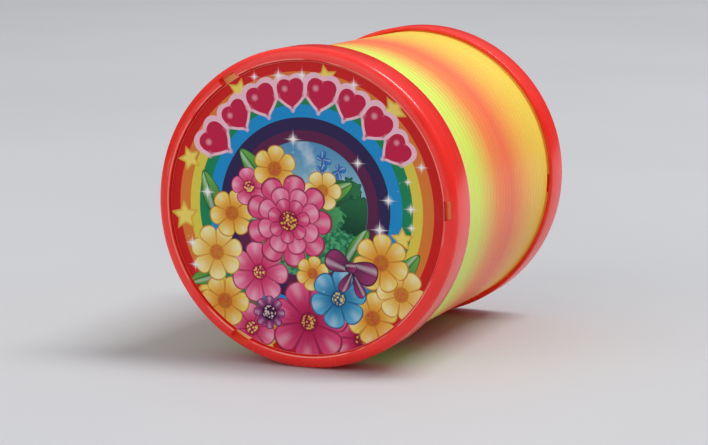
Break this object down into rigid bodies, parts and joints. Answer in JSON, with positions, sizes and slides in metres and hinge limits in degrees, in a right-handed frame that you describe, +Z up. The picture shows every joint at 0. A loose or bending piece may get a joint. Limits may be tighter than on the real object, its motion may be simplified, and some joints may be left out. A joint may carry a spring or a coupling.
{
  "type": "spring coil toy",
  "caption": "Stretchy plastic coil toy lying on its side, with a round snap cap and a printed label at each end; the coil fans out, arches and closes again.",
  "frame": {"origin": "on the surface that the toy lies on, midway between the two caps, below the coil's axis", "axes": "+Y along the coil's axis, from the front cap to the rear cap; +Z up; +X to the right of someone who faces the front cap"},
  "size_m": [0.075, 0.0832, 0.075],
  "materials": {
    "cap": "gloss moulded, fluorescent red",
    "label": "gloss printed paper under film",
    "coil_front": "satin, translucent yellow-green",
    "coil_orange": "satin, translucent orange",
    "coil_middle": "satin, translucent salmon red",
    "coil_rear": "satin, translucent yellow-orange"
  },
  "bodies": {
    "front_end": {"front_cap": "cap", "front_label": "label", "coil_front_turns": "coil_front"},
    "coil_half_01": {"coil_half_01": "coil_front"},
    "coil_half_02": {"coil_half_02": "coil_front"},
    "coil_half_03": {"coil_half_03": "coil_front"},
    "coil_half_04": {"coil_half_04": "coil_front"},
    "coil_half_05": {"coil_half_05": "coil_front"},
    "coil_half_06": {"coil_half_06": "coil_front"},
    "coil_half_07": {"coil_half_07": "coil_front"},
    "coil_half_08": {"coil_half_08": "coil_front"},
    "coil_half_09": {"coil_half_09": "coil_front"},
    "coil_half_10": {"coil_half_10": "coil_front"},
    "coil_half_11": {"coil_half_11": "coil_front"},
    "coil_half_12": {"coil_half_12": "coil_orange"},
    "coil_half_13": {"coil_half_13": "coil_orange"},
    "coil_half_14": {"coil_half_14": "coil_orange"},
    "coil_half_15": {"coil_half_15": "coil_orange"},
    "coil_half_16": {"coil_half_16": "coil_orange"},
    "coil_half_17": {"coil_half_17": "coil_orange"},
    "coil_half_18": {"coil_half_18": "coil_orange"},
    "coil_half_19": {"coil_half_19": "coil_orange"},
    "coil_half_20": {"coil_half_20": "coil_orange"},
    "coil_half_21": {"coil_half_21": "coil_orange"},
    "coil_half_22": {"coil_half_22": "coil_orange"},
    "coil_half_23": {"coil_half_23": "coil_middle"},
    "coil_half_24": {"coil_half_24": "coil_middle"},
    "coil_half_25": {"coil_half_25": "coil_middle"},
    "coil_half_26": {"coil_half_26": "coil_middle"},
    "coil_half_27": {"coil_half_27": "coil_middle"},
    "coil_half_28": {"coil_half_28": "coil_middle"},
    "coil_half_29": {"coil_half_29": "coil_middle"},
    "coil_half_30": {"coil_half_30": "coil_middle"},
    "coil_half_31": {"coil_half_31": "coil_middle"},
    "coil_half_32": {"coil_half_32": "coil_middle"},
    "coil_half_33": {"coil_half_33": "coil_middle"},
    "coil_half_34": {"coil_half_34": "coil_orange"},
    "coil_half_35": {"coil_half_35": "coil_orange"},
    "coil_half_36": {"coil_half_36": "coil_orange"},
    "coil_half_37": {"coil_half_37": "coil_orange"},
    "coil_half_38": {"coil_half_38": "coil_orange"},
    "coil_half_39": {"coil_half_39": "coil_orange"},
    "coil_half_40": {"coil_half_40": "coil_orange"},
    "coil_half_41": {"coil_half_41": "coil_orange"},
    "coil_half_42": {"coil_half_42": "coil_orange"},
    "coil_half_43": {"coil_half_43": "coil_orange"},
    "coil_half_44": {"coil_half_44": "coil_orange"},
    "coil_half_45": {"coil_half_45": "coil_rear"},
    "coil_half_46": {"coil_half_46": "coil_rear"},
    "coil_half_47": {"coil_half_47": "coil_rear"},
    "coil_half_48": {"coil_half_48": "coil_rear"},
    "coil_half_49": {"coil_half_49": "coil_rear"},
    "coil_half_50": {"coil_half_50": "coil_rear"},
    "coil_half_51": {"coil_half_51": "coil_rear"},
    "coil_half_52": {"coil_half_52": "coil_rear"},
    "coil_half_53": {"coil_half_53": "coil_rear"},
    "coil_half_54": {"coil_half_54": "coil_rear"},
    "rear_end": {"rear_cap": "cap", "rear_label": "label", "coil_rear_turns": "coil_rear"}
  },
  "joints": [
    {"name": "right_pivot_01", "type": "hinge", "parent": "front_end", "child": "coil_half_01", "pos_m": [0.0362, -0.03037, 0.0375], "axis": [0, 0, -1], "range_deg": [0, 3.33], "stiffness_Nm_per_rad": 0.002},
    {"name": "left_pivot_01", "type": "hinge", "parent": "coil_half_01", "child": "coil_half_02", "pos_m": [-0.0362, -0.02925, 0.0375], "axis": [0, 0, 1], "range_deg": [0, 6.66], "stiffness_Nm_per_rad": 0.002},
    {"name": "right_pivot_02", "type": "hinge", "parent": "coil_half_02", "child": "coil_half_03", "pos_m": [0.0362, -0.02813, 0.0375], "axis": [0, 0, -1], "range_deg": [0, 6.66], "stiffness_Nm_per_rad": 0.002},
    {"name": "left_pivot_02", "type": "hinge", "parent": "coil_half_03", "child": "coil_half_04", "pos_m": [-0.0362, -0.027, 0.0375], "axis": [0, 0, 1], "range_deg": [0, 6.66], "stiffness_Nm_per_rad": 0.002},
    {"name": "right_pivot_03", "type": "hinge", "parent": "coil_half_04", "child": "coil_half_05", "pos_m": [0.0362, -0.02587, 0.0375], "axis": [0, 0, -1], "range_deg": [0, 6.66], "stiffness_Nm_per_rad": 0.002},
    {"name": "left_pivot_03", "type": "hinge", "parent": "coil_half_05", "child": "coil_half_06", "pos_m": [-0.0362, -0.02475, 0.0375], "axis": [0, 0, 1], "range_deg": [0, 6.66], "stiffness_Nm_per_rad": 0.002},
    {"name": "right_pivot_04", "type": "hinge", "parent": "coil_half_06", "child": "coil_half_07", "pos_m": [0.0362, -0.02363, 0.0375], "axis": [0, 0, -1], "range_deg": [0, 6.66], "stiffness_Nm_per_rad": 0.002},
    {"name": "left_pivot_04", "type": "hinge", "parent": "coil_half_07", "child": "coil_half_08", "pos_m": [-0.0362, -0.0225, 0.0375], "axis": [0, 0, 1], "range_deg": [0, 6.66], "stiffness_Nm_per_rad": 0.002},
    {"name": "right_pivot_05", "type": "hinge", "parent": "coil_half_08", "child": "coil_half_09", "pos_m": [0.0362, -0.02138, 0.0375], "axis": [0, 0, -1], "range_deg": [0, 6.66], "stiffness_Nm_per_rad": 0.002},
    {"name": "left_pivot_05", "type": "hinge", "parent": "coil_half_09", "child": "coil_half_10", "pos_m": [-0.0362, -0.02025, 0.0375], "axis": [0, 0, 1], "range_deg": [0, 6.66], "stiffness_Nm_per_rad": 0.002},
    {"name": "right_pivot_06", "type": "hinge", "parent": "coil_half_10", "child": "coil_half_11", "pos_m": [0.0362, -0.01912, 0.0375], "axis": [0, 0, -1], "range_deg": [0, 6.66], "stiffness_Nm_per_rad": 0.002},
    {"name": "left_pivot_06", "type": "hinge", "parent": "coil_half_11", "child": "coil_half_12", "pos_m": [-0.0362, -0.018, 0.0375], "axis": [0, 0, 1], "range_deg": [0, 6.66], "stiffness_Nm_per_rad": 0.002},
    {"name": "right_pivot_07", "type": "hinge", "parent": "coil_half_12", "child": "coil_half_13", "pos_m": [0.0362, -0.01688, 0.0375], "axis": [0, 0, -1], "range_deg": [0, 6.66], "stiffness_Nm_per_rad": 0.002},
    {"name": "left_pivot_07", "type": "hinge", "parent": "coil_half_13", "child": "coil_half_14", "pos_m": [-0.0362, -0.01575, 0.0375], "axis": [0, 0, 1], "range_deg": [0, 6.66], "stiffness_Nm_per_rad": 0.002},
    {"name": "right_pivot_08", "type": "hinge", "parent": "coil_half_14", "child": "coil_half_15", "pos_m": [0.0362, -0.01463, 0.0375], "axis": [0, 0, -1], "range_deg": [0, 6.66], "stiffness_Nm_per_rad": 0.002},
    {"name": "left_pivot_08", "type": "hinge", "parent": "coil_half_15", "child": "coil_half_16", "pos_m": [-0.0362, -0.0135, 0.0375], "axis": [0, 0, 1], "range_deg": [0, 6.66], "stiffness_Nm_per_rad": 0.002},
    {"name": "right_pivot_09", "type": "hinge", "parent": "coil_half_16", "child": "coil_half_17", "pos_m": [0.0362, -0.01238, 0.0375], "axis": [0, 0, -1], "range_deg": [0, 6.66], "stiffness_Nm_per_rad": 0.002},
    {"name": "left_pivot_09", "type": "hinge", "parent": "coil_half_17", "child": "coil_half_18", "pos_m": [-0.0362, -0.01125, 0.0375], "axis": [0, 0, 1], "range_deg": [0, 6.66], "stiffness_Nm_per_rad": 0.002},
    {"name": "right_pivot_10", "type": "hinge", "parent": "coil_half_18", "child": "coil_half_19", "pos_m": [0.0362, -0.01013, 0.0375], "axis": [0, 0, -1], "range_deg": [0, 6.66], "stiffness_Nm_per_rad": 0.002},
    {"name": "left_pivot_10", "type": "hinge", "parent": "coil_half_19", "child": "coil_half_20", "pos_m": [-0.0362, -0.009, 0.0375], "axis": [0, 0, 1], "range_deg": [0, 6.66], "stiffness_Nm_per_rad": 0.002},
    {"name": "right_pivot_11", "type": "hinge", "parent": "coil_half_20", "child": "coil_half_21", "pos_m": [0.0362, -0.00788, 0.0375], "axis": [0, 0, -1], "range_deg": [0, 6.66], "stiffness_Nm_per_rad": 0.002},
    {"name": "left_pivot_11", "type": "hinge", "parent": "coil_half_21", "child": "coil_half_22", "pos_m": [-0.0362, -0.00675, 0.0375], "axis": [0, 0, 1], "range_deg": [0, 6.66], "stiffness_Nm_per_rad": 0.002},
    {"name": "right_pivot_12", "type": "hinge", "parent": "coil_half_22", "child": "coil_half_23", "pos_m": [0.0362, -0.00562, 0.0375], "axis": [0, 0, -1], "range_deg": [0, 6.66], "stiffness_Nm_per_rad": 0.002},
    {"name": "left_pivot_12", "type": "hinge", "parent": "coil_half_23", "child": "coil_half_24", "pos_m": [-0.0362, -0.0045, 0.0375], "axis": [0, 0, 1], "range_deg": [0, 6.66], "stiffness_Nm_per_rad": 0.002},
    {"name": "right_pivot_13", "type": "hinge", "parent": "coil_half_24", "child": "coil_half_25", "pos_m": [0.0362, -0.00337, 0.0375], "axis": [0, 0, -1], "range_deg": [0, 6.66], "stiffness_Nm_per_rad": 0.002},
    {"name": "left_pivot_13", "type": "hinge", "parent": "coil_half_25", "child": "coil_half_26", "pos_m": [-0.0362, -0.00225, 0.0375], "axis": [0, 0, 1], "range_deg": [0, 6.66], "stiffness_Nm_per_rad": 0.002},
    {"name": "right_pivot_14", "type": "hinge", "parent": "coil_half_26", "child": "coil_half_27", "pos_m": [0.0362, -0.00112, 0.0375], "axis": [0, 0, -1], "range_deg": [0, 6.66], "stiffness_Nm_per_rad": 0.002},
    {"name": "left_pivot_14", "type": "hinge", "parent": "coil_half_27", "child": "coil_half_28", "pos_m": [-0.0362, 0, 0.0375], "axis": [0, 0, 1], "range_deg": [0, 6.66], "stiffness_Nm_per_rad": 0.002},
    {"name": "right_pivot_15", "type": "hinge", "parent": "coil_half_28", "child": "coil_half_29", "pos_m": [0.0362, 0.00112, 0.0375], "axis": [0, 0, -1], "range_deg": [0, 6.66], "stiffness_Nm_per_rad": 0.002},
    {"name": "left_pivot_15", "type": "hinge", "parent": "coil_half_29", "child": "coil_half_30", "pos_m": [-0.0362, 0.00225, 0.0375], "axis": [0, 0, 1], "range_deg": [0, 6.66], "stiffness_Nm_per_rad": 0.002},
    {"name": "right_pivot_16", "type": "hinge", "parent": "coil_half_30", "child": "coil_half_31", "pos_m": [0.0362, 0.00337, 0.0375], "axis": [0, 0, -1], "range_deg": [0, 6.66], "stiffness_Nm_per_rad": 0.002},
    {"name": "left_pivot_16", "type": "hinge", "parent": "coil_half_31", "child": "coil_half_32", "pos_m": [-0.0362, 0.0045, 0.0375], "axis": [0, 0, 1], "range_deg": [0, 6.66], "stiffness_Nm_per_rad": 0.002},
    {"name": "right_pivot_17", "type": "hinge", "parent": "coil_half_32", "child": "coil_half_33", "pos_m": [0.0362, 0.00562, 0.0375], "axis": [0, 0, -1], "range_deg": [0, 6.66], "stiffness_Nm_per_rad": 0.002},
    {"name": "left_pivot_17", "type": "hinge", "parent": "coil_half_33", "child": "coil_half_34", "pos_m": [-0.0362, 0.00675, 0.0375], "axis": [0, 0, 1], "range_deg": [0, 6.66], "stiffness_Nm_per_rad": 0.002},
    {"name": "right_pivot_18", "type": "hinge", "parent": "coil_half_34", "child": "coil_half_35", "pos_m": [0.0362, 0.00788, 0.0375], "axis": [0, 0, -1], "range_deg": [0, 6.66], "stiffness_Nm_per_rad": 0.002},
    {"name": "left_pivot_18", "type": "hinge", "parent": "coil_half_35", "child": "coil_half_36", "pos_m": [-0.0362, 0.009, 0.0375], "axis": [0, 0, 1], "range_deg": [0, 6.66], "stiffness_Nm_per_rad": 0.002},
    {"name": "right_pivot_19", "type": "hinge", "parent": "coil_half_36", "child": "coil_half_37", "pos_m": [0.0362, 0.01013, 0.0375], "axis": [0, 0, -1], "range_deg": [0, 6.66], "stiffness_Nm_per_rad": 0.002},
    {"name": "left_pivot_19", "type": "hinge", "parent": "coil_half_37", "child": "coil_half_38", "pos_m": [-0.0362, 0.01125, 0.0375], "axis": [0, 0, 1], "range_deg": [0, 6.66], "stiffness_Nm_per_rad": 0.002},
    {"name": "right_pivot_20", "type": "hinge", "parent": "coil_half_38", "child": "coil_half_39", "pos_m": [0.0362, 0.01238, 0.0375], "axis": [0, 0, -1], "range_deg": [0, 6.66], "stiffness_Nm_per_rad": 0.002},
    {"name": "left_pivot_20", "type": "hinge", "parent": "coil_half_39", "child": "coil_half_40", "pos_m": [-0.0362, 0.0135, 0.0375], "axis": [0, 0, 1], "range_deg": [0, 6.66], "stiffness_Nm_per_rad": 0.002},
    {"name": "right_pivot_21", "type": "hinge", "parent": "coil_half_40", "child": "coil_half_41", "pos_m": [0.0362, 0.01463, 0.0375], "axis": [0, 0, -1], "range_deg": [0, 6.66], "stiffness_Nm_per_rad": 0.002},
    {"name": "left_pivot_21", "type": "hinge", "parent": "coil_half_41", "child": "coil_half_42", "pos_m": [-0.0362, 0.01575, 0.0375], "axis": [0, 0, 1], "range_deg": [0, 6.66], "stiffness_Nm_per_rad": 0.002},
    {"name": "right_pivot_22", "type": "hinge", "parent": "coil_half_42", "child": "coil_half_43", "pos_m": [0.0362, 0.01688, 0.0375], "axis": [0, 0, -1], "range_deg": [0, 6.66], "stiffness_Nm_per_rad": 0.002},
    {"name": "left_pivot_22", "type": "hinge", "parent": "coil_half_43", "child": "coil_half_44", "pos_m": [-0.0362, 0.018, 0.0375], "axis": [0, 0, 1], "range_deg": [0, 6.66], "stiffness_Nm_per_rad": 0.002},
    {"name": "right_pivot_23", "type": "hinge", "parent": "coil_half_44", "child": "coil_half_45", "pos_m": [0.0362, 0.01912, 0.0375], "axis": [0, 0, -1], "range_deg": [0, 6.66], "stiffness_Nm_per_rad": 0.002},
    {"name": "left_pivot_23", "type": "hinge", "parent": "coil_half_45", "child": "coil_half_46", "pos_m": [-0.0362, 0.02025, 0.0375], "axis": [0, 0, 1], "range_deg": [0, 6.66], "stiffness_Nm_per_rad": 0.002},
    {"name": "right_pivot_24", "type": "hinge", "parent": "coil_half_46", "child": "coil_half_47", "pos_m": [0.0362, 0.02138, 0.0375], "axis": [0, 0, -1], "range_deg": [0, 6.66], "stiffness_Nm_per_rad": 0.002},
    {"name": "left_pivot_24", "type": "hinge", "parent": "coil_half_47", "child": "coil_half_48", "pos_m": [-0.0362, 0.0225, 0.0375], "axis": [0, 0, 1], "range_deg": [0, 6.66], "stiffness_Nm_per_rad": 0.002},
    {"name": "right_pivot_25", "type": "hinge", "parent": "coil_half_48", "child": "coil_half_49", "pos_m": [0.0362, 0.02363, 0.0375], "axis": [0, 0, -1], "range_deg": [0, 6.66], "stiffness_Nm_per_rad": 0.002},
    {"name": "left_pivot_25", "type": "hinge", "parent": "coil_half_49", "child": "coil_half_50", "pos_m": [-0.0362, 0.02475, 0.0375], "axis": [0, 0, 1], "range_deg": [0, 6.66], "stiffness_Nm_per_rad": 0.002},
    {"name": "right_pivot_26", "type": "hinge", "parent": "coil_half_50", "child": "coil_half_51", "pos_m": [0.0362, 0.02587, 0.0375], "axis": [0, 0, -1], "range_deg": [0, 6.66], "stiffness_Nm_per_rad": 0.002},
    {"name": "left_pivot_26", "type": "hinge", "parent": "coil_half_51", "child": "coil_half_52", "pos_m": [-0.0362, 0.027, 0.0375], "axis": [0, 0, 1], "range_deg": [0, 6.66], "stiffness_Nm_per_rad": 0.002},
    {"name": "right_pivot_27", "type": "hinge", "parent": "coil_half_52", "child": "coil_half_53", "pos_m": [0.0362, 0.02813, 0.0375], "axis": [0, 0, -1], "range_deg": [0, 6.66], "stiffness_Nm_per_rad": 0.002},
    {"name": "left_pivot_27", "type": "hinge", "parent": "coil_half_53", "child": "coil_half_54", "pos_m": [-0.0362, 0.02925, 0.0375], "axis": [0, 0, 1], "range_deg": [0, 6.66], "stiffness_Nm_per_rad": 0.002},
    {"name": "right_pivot_28", "type": "hinge", "parent": "coil_half_54", "child": "rear_end", "pos_m": [0.0362, 0.03037, 0.0375], "axis": [0, 0, -1], "range_deg": [0, 3.33], "stiffness_Nm_per_rad": 0.002}
  ],
  "couplings": [
    {"joint": "right_pivot_02", "follows": "right_pivot_01", "ratio": 2},
    {"joint": "left_pivot_02", "follows": "left_pivot_01", "ratio": 1},
    {"joint": "right_pivot_03", "follows": "right_pivot_01", "ratio": 2},
    {"joint": "left_pivot_03", "follows": "left_pivot_01", "ratio": 1},
    {"joint": "right_pivot_04", "follows": "right_pivot_01", "ratio": 2},
    {"joint": "left_pivot_04", "follows": "left_pivot_01", "ratio": 1},
    {"joint": "right_pivot_05", "follows": "right_pivot_01", "ratio": 2},
    {"joint": "left_pivot_05", "follows": "left_pivot_01", "ratio": 1},
    {"joint": "right_pivot_06", "follows": "right_pivot_01", "ratio": 2},
    {"joint": "left_pivot_06", "follows": "left_pivot_01", "ratio": 1},
    {"joint": "right_pivot_07", "follows": "right_pivot_01", "ratio": 2},
    {"joint": "left_pivot_07", "follows": "left_pivot_01", "ratio": 1},
    {"joint": "right_pivot_08", "follows": "right_pivot_01", "ratio": 2},
    {"joint": "left_pivot_08", "follows": "left_pivot_01", "ratio": 1},
    {"joint": "right_pivot_09", "follows": "right_pivot_01", "ratio": 2},
    {"joint": "left_pivot_09", "follows": "left_pivot_01", "ratio": 1},
    {"joint": "right_pivot_10", "follows": "right_pivot_01", "ratio": 2},
    {"joint": "left_pivot_10", "follows": "left_pivot_01", "ratio": 1},
    {"joint": "right_pivot_11", "follows": "right_pivot_01", "ratio": 2},
    {"joint": "left_pivot_11", "follows": "left_pivot_01", "ratio": 1},
    {"joint": "right_pivot_12", "follows": "right_pivot_01", "ratio": 2},
    {"joint": "left_pivot_12", "follows": "left_pivot_01", "ratio": 1},
    {"joint": "right_pivot_13", "follows": "right_pivot_01", "ratio": 2},
    {"joint": "left_pivot_13", "follows": "left_pivot_01", "ratio": 1},
    {"joint": "right_pivot_14", "follows": "right_pivot_01", "ratio": 2},
    {"joint": "left_pivot_14", "follows": "left_pivot_01", "ratio": 1},
    {"joint": "right_pivot_15", "follows": "right_pivot_01", "ratio": 2},
    {"joint": "left_pivot_15", "follows": "left_pivot_01", "ratio": 1},
    {"joint": "right_pivot_16", "follows": "right_pivot_01", "ratio": 2},
    {"joint": "left_pivot_16", "follows": "left_pivot_01", "ratio": 1},
    {"joint": "right_pivot_17", "follows": "right_pivot_01", "ratio": 2},
    {"joint": "left_pivot_17", "follows": "left_pivot_01", "ratio": 1},
    {"joint": "right_pivot_18", "follows": "right_pivot_01", "ratio": 2},
    {"joint": "left_pivot_18", "follows": "left_pivot_01", "ratio": 1},
    {"joint": "right_pivot_19", "follows": "right_pivot_01", "ratio": 2},
    {"joint": "left_pivot_19", "follows": "left_pivot_01", "ratio": 1},
    {"joint": "right_pivot_20", "follows": "right_pivot_01", "ratio": 2},
    {"joint": "left_pivot_20", "follows": "left_pivot_01", "ratio": 1},
    {"joint": "right_pivot_21", "follows": "right_pivot_01", "ratio": 2},
    {"joint": "left_pivot_21", "follows": "left_pivot_01", "ratio": 1},
    {"joint": "right_pivot_22", "follows": "right_pivot_01", "ratio": 2},
    {"joint": "left_pivot_22", "follows": "left_pivot_01", "ratio": 1},
    {"joint": "right_pivot_23", "follows": "right_pivot_01", "ratio": 2},
    {"joint": "left_pivot_23", "follows": "left_pivot_01", "ratio": 1},
    {"joint": "right_pivot_24", "follows": "right_pivot_01", "ratio": 2},
    {"joint": "left_pivot_24", "follows": "left_pivot_01", "ratio": 1},
    {"joint": "right_pivot_25", "follows": "right_pivot_01", "ratio": 2},
    {"joint": "left_pivot_25", "follows": "left_pivot_01", "ratio": 1},
    {"joint": "right_pivot_26", "follows": "right_pivot_01", "ratio": 2},
    {"joint": "left_pivot_26", "follows": "left_pivot_01", "ratio": 1},
    {"joint": "right_pivot_27", "follows": "right_pivot_01", "ratio": 2},
    {"joint": "left_pivot_27", "follows": "left_pivot_01", "ratio": 1},
    {"joint": "right_pivot_28", "follows": "right_pivot_01", "ratio": 1}
  ]
}
